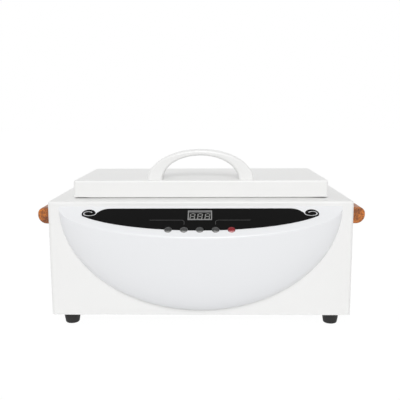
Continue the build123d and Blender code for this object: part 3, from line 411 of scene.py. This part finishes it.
# Glass-epoxy board: green lacquer over paler copper tracks.
board, tree, shader, place = start_material("green_solder_mask", Roughness=0.35, IOR=1.5)
track_scale = 90.0                 # fields between tracks, 5.6 mm long and 2.8 mm wide
tracks = add(tree, "ShaderNodeTexBrick", {"Scale": track_scale, "Color1": linear("1E5A38"),
                                          "Color2": linear("1A4F31"), "Mortar": linear("2D7049")},
             {"Vector": place})
tree.links.new(tracks.outputs["Color"], shader.inputs["Base Color"])
dress(board, "control_board", "power_board")

# Varnished core plates: brown, in leaves one millimetre apart, thicker than real ones, to show.
laminated, tree, shader, place = start_material("varnished_laminations", Roughness=0.45)
leaves = add(tree, "ShaderNodeTexWave", {"bands_direction": "Y", "Scale": 1 / 0.0010},
             {"Vector": place})
tone = add(tree, "ShaderNodeMix",
           {"data_type": "RGBA", "A": linear("5E4A2C"), "B": linear("8A7040")},
           {"Factor": leaves.outputs["Fac"]})
tree.links.new(tone.outputs["Result"], shader.inputs["Base Color"])
dress(laminated, "transformer")

# Moulded nylon: plain mid green, half matt.
terminal, tree, shader, place = start_material("green_terminal_nylon", Base_Color=linear("2C6B3F"),
                                               IOR=1.53)
grain = add(tree, "ShaderNodeTexNoise", {"Scale": 1 / 0.0008}, {"Vector": place})
matt = add(tree, "ShaderNodeMapRange", {"To Min": 0.4, "To Max": 0.5},
           {"Value": grain.outputs["Fac"]})
tree.links.new(matt.outputs["Result"], shader.inputs["Roughness"])
dress(terminal, "terminal_block")

# ---------------------------------------------------------------- bowl-shaped front cover
# One glossy ABS moulding, part of an ellipsoid under a sloping deck, screwed on from inside.
# Every upright cut across it is the same outline, smaller and smaller towards the tips.

# Moulded ABS: smooth and glossy, with slow waves from the mould. Both are one plastic: the cover's
# copy is tinted a little blue, a painted blue shade.
for name, colour, moulding in (("warm_white_abs", "EFEFEE", "lid_handle"),
                               ("glossy_white_abs_painted_blue_shade", "EDEEF0", "front_cover")):
    abs_white, tree, shader, place = start_material(name, Base_Color=linear(colour), IOR=1.53)
    flow = add(tree, "ShaderNodeTexNoise", {"Scale": 1 / 0.03, "Detail": 2.0}, {"Vector": place})
    gloss = add(tree, "ShaderNodeMapRange", {"To Min": 0.28, "To Max": 0.36},
                {"Value": flow.outputs["Fac"]})
    fine = add(tree, "ShaderNodeTexNoise", {"Scale": 1 / 0.0012, "Detail": 1.0}, {"Vector": place})
    bump = add(tree, "ShaderNodeBump", {"Strength": 0.03, "Distance": 0.0001},
               {"Height": fine.outputs["Fac"]})
    tree.links.new(gloss.outputs["Result"], shader.inputs["Roughness"])
    tree.links.new(bump.outputs["Normal"], shader.inputs["Normal"])
    dress(abs_white, moulding)

casing_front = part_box("outer_casing")[0][1]
deck_height = 0.1345         # of the deck's back line, over the table
hull_half, hull_reach, hull_drop = 0.1525, 0.0381, 0.115       # the ellipsoid's half axes
slope = radians(35.0)        # of the deck, below level
edge_round = 0.003           # about the radius where the deck's front edge meets the bowl
cover_wall = 0.0024
deck_points, rim_points, hull_points, stations = 26, 8, 72, 161
seam = 1e-5                  # reach that joins the runs of the outline, and the tips
deck_run = 1 / sqrt((cos(slope) / hull_reach) ** 2 + (sin(slope) / hull_drop) ** 2)
edge_turn = atan2(hull_reach * sin(slope), hull_drop * cos(slope))
edge_heading = Vector((-hull_reach * sin(edge_turn), hull_drop * cos(edge_turn)))
setback = edge_round * tan(Vector((cos(slope), sin(slope))).angle(edge_heading) / 2)
bowl_sizes = {"Half Width": hull_half, "Reach": hull_reach, "Drop": hull_drop,
              "Edge": (deck_run * cos(slope), deck_run * sin(slope), 0.0),
              "Round Start": ((deck_run - setback) * cos(slope),
                              (deck_run - setback) * sin(slope), 0.0),
              "Hull Start": edge_turn + setback / edge_heading.length,
              "Back Line": (0.0, casing_front, deck_height), "Stations": stations}
tree, size = start_tree("bowl_under_a_deck", bowl_sizes)
deck = add(tree, "GeometryNodeCurvePrimitiveLine", None, {"End": size["Round Start"]})
deck = add(tree, "GeometryNodeResampleCurve", {"Count": deck_points},
           {"Curve": deck.outputs["Curve"]})
sweep = add(tree, "ShaderNodeMath", {"operation": "SUBTRACT", 0: pi / 2}, {1: size["Hull Start"]})
hull = add(tree, "GeometryNodeCurveArc", {"Resolution": hull_points, "Radius": 1.0},
           {"Start Angle": size["Hull Start"], "Sweep Angle": sweep.outputs[0]})
oval = add(tree, "ShaderNodeCombineXYZ", {"Z": 1.0}, {"X": size["Reach"], "Y": size["Drop"]})
hull = add(tree, "GeometryNodeTransform", None,
           {"Geometry": hull.outputs["Curve"], "Scale": oval.outputs[0]})
start_y = add(tree, "ShaderNodeMath", {"operation": "SINE"}, {0: size["Hull Start"]})
start_x = add(tree, "ShaderNodeMath", {"operation": "COSINE"}, {0: size["Hull Start"]})
start = add(tree, "ShaderNodeCombineXYZ", None, {"X": start_x.outputs[0], "Y": start_y.outputs[0]})
start = add(tree, "ShaderNodeVectorMath", {"operation": "MULTIPLY"},
            {0: start.outputs[0], 1: oval.outputs[0]})
rim = add(tree, "GeometryNodeCurveQuadraticBezier", {"Resolution": rim_points},
          {"Start": size["Round Start"], "Middle": size["Edge"], "End": start.outputs[0]})
runs = add(tree, "GeometryNodeJoinGeometry")
for run in (deck.outputs["Curve"], rim.outputs["Curve"], hull.outputs["Geometry"]):
    wire = add(tree, "GeometryNodeCurveToMesh", None, {"Curve": run})
    tree.links.new(wire.outputs["Mesh"], runs.inputs["Geometry"])
joined = add(tree, "GeometryNodeMergeByDistance", {"Distance": seam},
             {"Geometry": runs.outputs["Geometry"]})
profile = add(tree, "GeometryNodeMeshToCurve", None, {"Mesh": joined.outputs["Geometry"]})
line = add(tree, "GeometryNodeMeshLine", None, {"Count": size["Stations"]})
index = add(tree, "GeometryNodeInputIndex").outputs["Index"]
last = add(tree, "ShaderNodeMath", {"operation": "SUBTRACT", 1: 1.0}, {0: size["Stations"]})
share = add(tree, "ShaderNodeMath", {"operation": "DIVIDE"}, {0: index, 1: last.outputs[0]})
turn = add(tree, "ShaderNodeMath", {"operation": "MULTIPLY", 1: pi}, {0: share.outputs[0]})
inward = add(tree, "ShaderNodeMath", {"operation": "COSINE"}, {0: turn.outputs[0]})
fullness = add(tree, "ShaderNodeMath", {"operation": "SINE"}, {0: turn.outputs[0]})
left = add(tree, "ShaderNodeMath", {"operation": "MULTIPLY", 1: -1.0}, {0: size["Half Width"]})
along = add(tree, "ShaderNodeMath", {"operation": "MULTIPLY"},
            {0: inward.outputs[0], 1: left.outputs[0]})
spot = add(tree, "ShaderNodeCombineXYZ", None, {"X": along.outputs[0]})
line = add(tree, "GeometryNodeSetPosition", None,
           {"Geometry": line.outputs["Mesh"], "Position": spot.outputs[0]})
rail = add(tree, "GeometryNodeMeshToCurve", None, {"Mesh": line.outputs["Geometry"]})
rail = add(tree, "GeometryNodeSetCurveNormal", {"mode": "Z_UP"}, {"Curve": rail.outputs["Curve"]})
skin = add(tree, "GeometryNodeCurveToMesh", None, {"Curve": rail.outputs["Curve"],
                                                   "Profile Curve": profile.outputs["Curve"],
                                                   "Scale": fullness.outputs[0]})
skin = add(tree, "GeometryNodeMergeByDistance", {"Distance": seam},
           {"Geometry": skin.outputs["Mesh"]})
skin = add(tree, "GeometryNodeTransform", None,
           {"Geometry": skin.outputs["Geometry"], "Translation": size["Back Line"]})
finish_tree(tree, skin.outputs["Geometry"], abs_white)
cover = grow("bowl_front_cover", tree, bowl_sizes)


def on_deck(x, down, depth=0.0):
    """A point in the deck's own measures: across, down the slope, and under the surface."""
    return Vector((x, casing_front - down * cos(slope) + depth * sin(slope),
                   deck_height - down * sin(slope) - depth * cos(slope)))


wall = cover.modifiers.new("wall", "SOLIDIFY")
wall.thickness = cover_wall
wall.offset = 1.0
harden(cover)

# The window for the display and the holes for the push buttons go right through the deck.
button_to_edge, button_pitch = 0.0108, 0.0164       # to the deck's front edge, and between two
button_line = deck_run - button_to_edge
button_places = [button_pitch * number for number in (-2, -1, 0, 1, 2)]
button_hole, hole_facets = 0.004, 48
window_middle = 0.0144       # from the deck's back line
window = (0.0248, 0.0128, 0.009)
openings = bmesh.new()
bmesh.ops.create_cube(openings, size=1.0, matrix=(
    Matrix.Translation(on_deck(0, window_middle)) @ Matrix.Rotation(slope, 4, "X")
    @ Matrix.Diagonal((*window, 1.0))))
for x in button_places:
    bmesh.ops.create_cone(openings, cap_ends=True, segments=hole_facets, radius1=button_hole,
                          radius2=button_hole, depth=4 * cover_wall, matrix=(
        Matrix.Translation(on_deck(x, button_line)) @ Matrix.Rotation(slope, 4, "X")))
cutter = bpy.data.objects.new("deck_openings", bpy.data.meshes.new("deck_openings"))
openings.to_mesh(cutter.data)
openings.free()
scene.collection.objects.link(cutter)
cut = cover.modifiers.new("openings", "BOOLEAN")
cut.operation = "DIFFERENCE"
cut.solver = "MANIFOLD"
cut.object = cutter
harden(cover)
bpy.data.objects.remove(cutter)
for vertex in cover.data.vertices:
    vertex.co.y = min(max(vertex.co.y, cad_box[0][1]), casing_front)
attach(cover, "case")
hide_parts("front_cover")

# ---------------------------------------------------------------- control overlay, display, buttons
# Polycarbonate film printed black on its back and stuck to the deck, with a scroll at each tip.
# The display's face is black with unlit grey figures in a light grey frame.

# Polycarbonate film: deep black under a finely textured face that hardly shines.
film, tree, shader, place = start_material(
    "black_polycarbonate_film", Base_Color=linear("0E0E0E"), IOR=1.58, Specular_IOR_Level=0.03)
grain = add(tree, "ShaderNodeTexNoise", {"Scale": 1 / 0.0007}, {"Vector": place})
gloss = add(tree, "ShaderNodeMapRange", {"To Min": 0.30, "To Max": 0.42},
            {"Value": grain.outputs["Fac"]})
tree.links.new(gloss.outputs["Result"], shader.inputs["Roughness"])
dress(film, "control_overlay", "display_module")

# Screen-printed ink: mid grey and matt, in two thin lines that run in and down to a button.
ink, tree, shader, place = start_material("grey_screen_ink", IOR=1.5, Roughness=0.5,
                                          Specular_IOR_Level=0.2)
mesh_mark = add(tree, "ShaderNodeTexNoise", {"Scale": 1 / 0.0004}, {"Vector": place})
tone = add(tree, "ShaderNodeMix",
           {"data_type": "RGBA", "A": linear("484848"), "B": linear("5E5E5E")},
           {"Factor": mesh_mark.outputs["Fac"]})
tree.links.new(tone.outputs["Result"], shader.inputs["Base Color"])
line_start = 0.0530          # from the deck's middle
line_level, line_end = 0.0210, 0.0275       # from the deck's back line
line_bend, line_half, bend_steps = 0.003, 0.0002, 8
film_top, ink_middle, ink_thickness = 0.0005, 0.00001, 0.00003
for side in (-1, 1):
    centre = button_places[2 + side]
    turn_x, turn_down = centre + side * line_bend, line_level + line_bend
    path = [(side * line_start, line_level)]
    path += [(turn_x - side * line_bend * sin(pi / 2 * i / bend_steps),
              turn_down - line_bend * cos(pi / 2 * i / bend_steps)) for i in range(bend_steps + 1)]
    path.append((centre, line_end))
    edges = []
    for i, (x, down) in enumerate(path):
        before, after = path[max(i - 1, 0)], path[min(i + 1, len(path) - 1)]
        heading = Vector((after[0] - before[0], after[1] - before[1])).normalized()
        for way in (-1, 1):
            edges.append(on_deck(x - way * heading.y * line_half,
                                 down + way * heading.x * line_half, -film_top - ink_middle))
    strip = bpy.data.meshes.new("printed_line")
    strip.from_pydata([tuple(point) for point in edges], [],
                      [(2 * i, 2 * i + 1, 2 * i + 3, 2 * i + 2) for i in range(len(path) - 1)])
    strip.materials.append(ink)
    printed = bpy.data.objects.new("printed_line_" + ("left" if side < 0 else "right"), strip)
    scene.collection.objects.link(printed)
    body = printed.modifiers.new("ink", "SOLIDIFY")
    body.thickness = ink_thickness
    body.offset = 0.0
    harden(printed)
    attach(printed, "case")

# Moulded ABS: light grey, half matt.
frame_grey, tree, shader, place = start_material("light_grey_abs", Base_Color=linear("8A8A8A"),
                                                 IOR=1.53, Specular_IOR_Level=0.3)
grain = add(tree, "ShaderNodeTexNoise", {"Scale": 1 / 0.0007}, {"Vector": place})
gloss = add(tree, "ShaderNodeMapRange", {"To Min": 0.35, "To Max": 0.5},
            {"Value": grain.outputs["Fac"]})
tree.links.new(gloss.outputs["Result"], shader.inputs["Roughness"])
dress(frame_grey, "display_frame")

# Cast resin: the figures are a cloudy grey while they are unlit.
segment, tree, shader, place = start_material("unlit_segment_resin", IOR=1.5, Roughness=0.4)
cloud = add(tree, "ShaderNodeTexNoise", {"Scale": 1 / 0.0015}, {"Vector": place})
tone = add(tree, "ShaderNodeMix",
           {"data_type": "RGBA", "A": linear("7C7C7A"), "B": linear("929290")},
           {"Factor": cloud.outputs["Fac"]})
tree.links.new(tone.outputs["Result"], shader.inputs["Base Color"])
dress(segment, "display_segments")

# Tinted acrylic: translucent and glossy. Deep in the upper half as painted shade, pale below as a
# painted glow where light gathers.
# The painted shade runs past its ends, so that the palest and deepest parts are plain.
cap_radius, painted_shade_at_foot, painted_shade_at_head = 0.0037, -0.45, 2.0
cap_low, cap_high = (on_deck(0, button_line + way * cap_radius).z for way in (1, -1))
for name, pale, deep, caps in (("smoke_grey_acrylic", "C4C4C2", "4E4F4F", (1, 2, 3, 4)),
                               ("ruby_red_acrylic", "FFC0C3", "9A0A1E", (5,))):
    acrylic, tree, shader, place = start_material(name, Roughness=0.14, IOR=1.49,
                                                  Specular_IOR_Level=0.15, Transmission_Weight=0.35)
    height = add(tree, "ShaderNodeSeparateXYZ", None, {"Vector": place})
    streaks = add(tree, "ShaderNodeTexNoise", {"Scale": 1 / 0.0016, "Detail": 1.0},
                  {"Vector": place})
    # Painted light: the deep colour's share grows from the foot of each cap to its head, painted
    # shade above and a painted glow below.
    rise = add(tree, "ShaderNodeMapRange", {"From Min": cap_low, "From Max": cap_high,
                                            "To Min": painted_shade_at_foot, "To Max": painted_shade_at_head},
               {"Value": height.outputs["Z"]})
    depth = add(tree, "ShaderNodeMath", {"operation": "MULTIPLY_ADD", 1: 0.5, "use_clamp": True},
                {0: streaks.outputs["Fac"], 2: rise.outputs["Result"]})
    tint_with_painted_light = add(tree, "ShaderNodeMix", {"data_type": "RGBA", "A": linear(pale), "B": linear(deep)},
               {"Factor": depth.outputs["Value"]})
    tree.links.new(tint_with_painted_light.outputs["Result"], shader.inputs["Base Color"])
    dress(acrylic, *("button_%d" % number for number in caps))

# ---------------------------------------------------------------- lid hinges
# Two pressed and plated steel hinges with rolled knuckles on a headed pin.
# Countersunk screws hold one leaf to the casing's top and the other to the lid's rear wall.
countersunk = {"Shank": 0.00125, "Length": 0.006, "Head": 0.0024, "Rise": 0.0, "Sink": 0.0011,
               "Recess": 0.0022}
fit_screws("hinge_body_screws", "case", (0, 0, -1), **countersunk)
fit_screws("hinge_lid_screws", "lid", (0, -1, 0), **countersunk)

# ---------------------------------------------------------------- lid seal
# A strip of silicone rubber stuck under the lid's liner, closing on the tank's flange.
# It is pale and half matt, with a faint bloom.
silicone, tree, shader, place = start_material("pale_silicone_rubber", Base_Color=linear("D3CFC7"),
                                               IOR=1.43)
bloom = add(tree, "ShaderNodeTexNoise", {"Scale": 1 / 0.008, "Detail": 3.0}, {"Vector": place})
matt = add(tree, "ShaderNodeMapRange", {"To Min": 0.45, "To Max": 0.65},
           {"Value": bloom.outputs["Fac"]})
tree.links.new(matt.outputs["Result"], shader.inputs["Roughness"])
dress(silicone, "lid_seal")

# ---------------------------------------------------------------- wooden side grips
# Hardwood bars rounded along their outer edge and screwed on from inside.

# Lacquered hardwood: orange brown, in short dark pores along the bar, under a thin clear shine.
wood, tree, shader, place = start_material("lacquered_hardwood", IOR=1.5, Coat_Weight=0.25,
                                           Coat_Roughness=0.3, Roughness=0.5)
drawn_out, darkest, palest = 0.07, 0.16, 0.36
grain = add(tree, "ShaderNodeMapping", {"Scale": (1.0, drawn_out, 1.0)}, {"Vector": place})
broad = add(tree, "ShaderNodeTexNoise",
            {"Scale": 1 / 0.006, "Detail": 4.0, "Roughness": 0.65, "Distortion": 0.8},
            {"Vector": grain.outputs["Vector"]})
pores = add(tree, "ShaderNodeTexNoise", {"Scale": 1 / 0.0011, "Detail": 3.0, "Roughness": 0.6},
            {"Vector": grain.outputs["Vector"]})
both = add(tree, "ShaderNodeMath", {"operation": "MULTIPLY"},
           {0: broad.outputs["Fac"], 1: pores.outputs["Fac"]})
share = add(tree, "ShaderNodeMapRange", {"From Min": darkest, "From Max": palest},
            {"Value": both.outputs["Value"]})
tone = add(tree, "ShaderNodeMix",
           {"data_type": "RGBA", "A": linear("5A2708"), "B": linear("D27A28")},
           {"Factor": share.outputs["Result"]})
tree.links.new(tone.outputs["Result"], shader.inputs["Base Color"])
dress(wood, "left_grip", "right_grip")

# ---------------------------------------------------------------- floor and light
# A plain white table in a white room. Soft lamps light it from the front and from overhead,
# and a weaker one from behind on the left.
def seen_directly(tree):
    """1 for rays from the camera, in a reflection or through a clear piece, 0 for all others."""
    seen = add(tree, "ShaderNodeLightPath")
    direct = add(tree, "ShaderNodeMath", {"operation": "MAXIMUM"},
                 {0: seen.outputs["Is Camera Ray"], 1: seen.outputs["Is Glossy Ray"]})
    clear = add(tree, "ShaderNodeMath", {"operation": "MAXIMUM"},
                {0: direct.outputs["Value"], 1: seen.outputs["Is Transmission Ray"]})
    return clear.outputs["Value"]


table_half, table_glow, glow_share = 6.0, 1.02, 0.96
room_level, backdrop_level = 0.41, 1.0
floor_mesh = bpy.data.meshes.new("floor")
floor_mesh.from_pydata([(x * table_half, y * table_half, 0)
                        for x, y in ((-1, -1), (1, -1), (1, 1), (-1, 1))], [], [(0, 1, 2, 3)])
floor = bpy.data.objects.new("floor", floor_mesh)
scene.collection.objects.link(floor)
table = bpy.data.materials.new("white_studio_table")
table.use_nodes = True
tree = table.node_tree
tree.nodes.remove(tree.nodes["Principled BSDF"])
paint = add(tree, "ShaderNodeBsdfDiffuse", {"Color": linear("F4F4F4")})
glow = add(tree, "ShaderNodeEmission", {"Color": (1, 1, 1, 1), "Strength": table_glow})
share = add(tree, "ShaderNodeMath", {"operation": "MULTIPLY", 1: glow_share},
            {0: seen_directly(tree)})
mixed = add(tree, "ShaderNodeMixShader", None,
            {"Fac": share.outputs["Value"], 1: paint.outputs["BSDF"], 2: glow.outputs["Emission"]})
tree.links.new(mixed.outputs["Shader"], tree.nodes["Material Output"].inputs["Surface"])
floor_mesh.materials.append(table)

world = bpy.data.worlds.new("studio")
scene.world = world
world.use_nodes = True
tree = world.node_tree
tree.nodes.clear()
level = add(tree, "ShaderNodeMapRange", {"To Min": room_level, "To Max": backdrop_level},
            {"Value": seen_directly(tree)})
room = add(tree, "ShaderNodeBackground", {"Color": (1, 1, 1, 1)},
           {"Strength": level.outputs["Result"]})
add(tree, "ShaderNodeOutputWorld", None, {"Surface": room.outputs["Background"]})

# Each lamp's strength, its width in degrees and the way its light goes.
for name, energy, spread, aim in (("front_lamp", 1.47, 24, (-0.03, 0.87, -0.50)),
                                  ("overhead_lamp", 0.36, 90, (-0.03, 0.17, -0.98)),
                                  ("rear_lamp", 0.25, 60, (0.90, -0.55, -0.45))):
    lamp = bpy.data.objects.new(name, bpy.data.lights.new(name, "SUN"))
    lamp.data.energy = energy
    lamp.data.angle = radians(spread)
    lamp.rotation_euler = Vector(aim).to_track_quat("-Z", "Y").to_euler()
    scene.collection.objects.link(lamp)
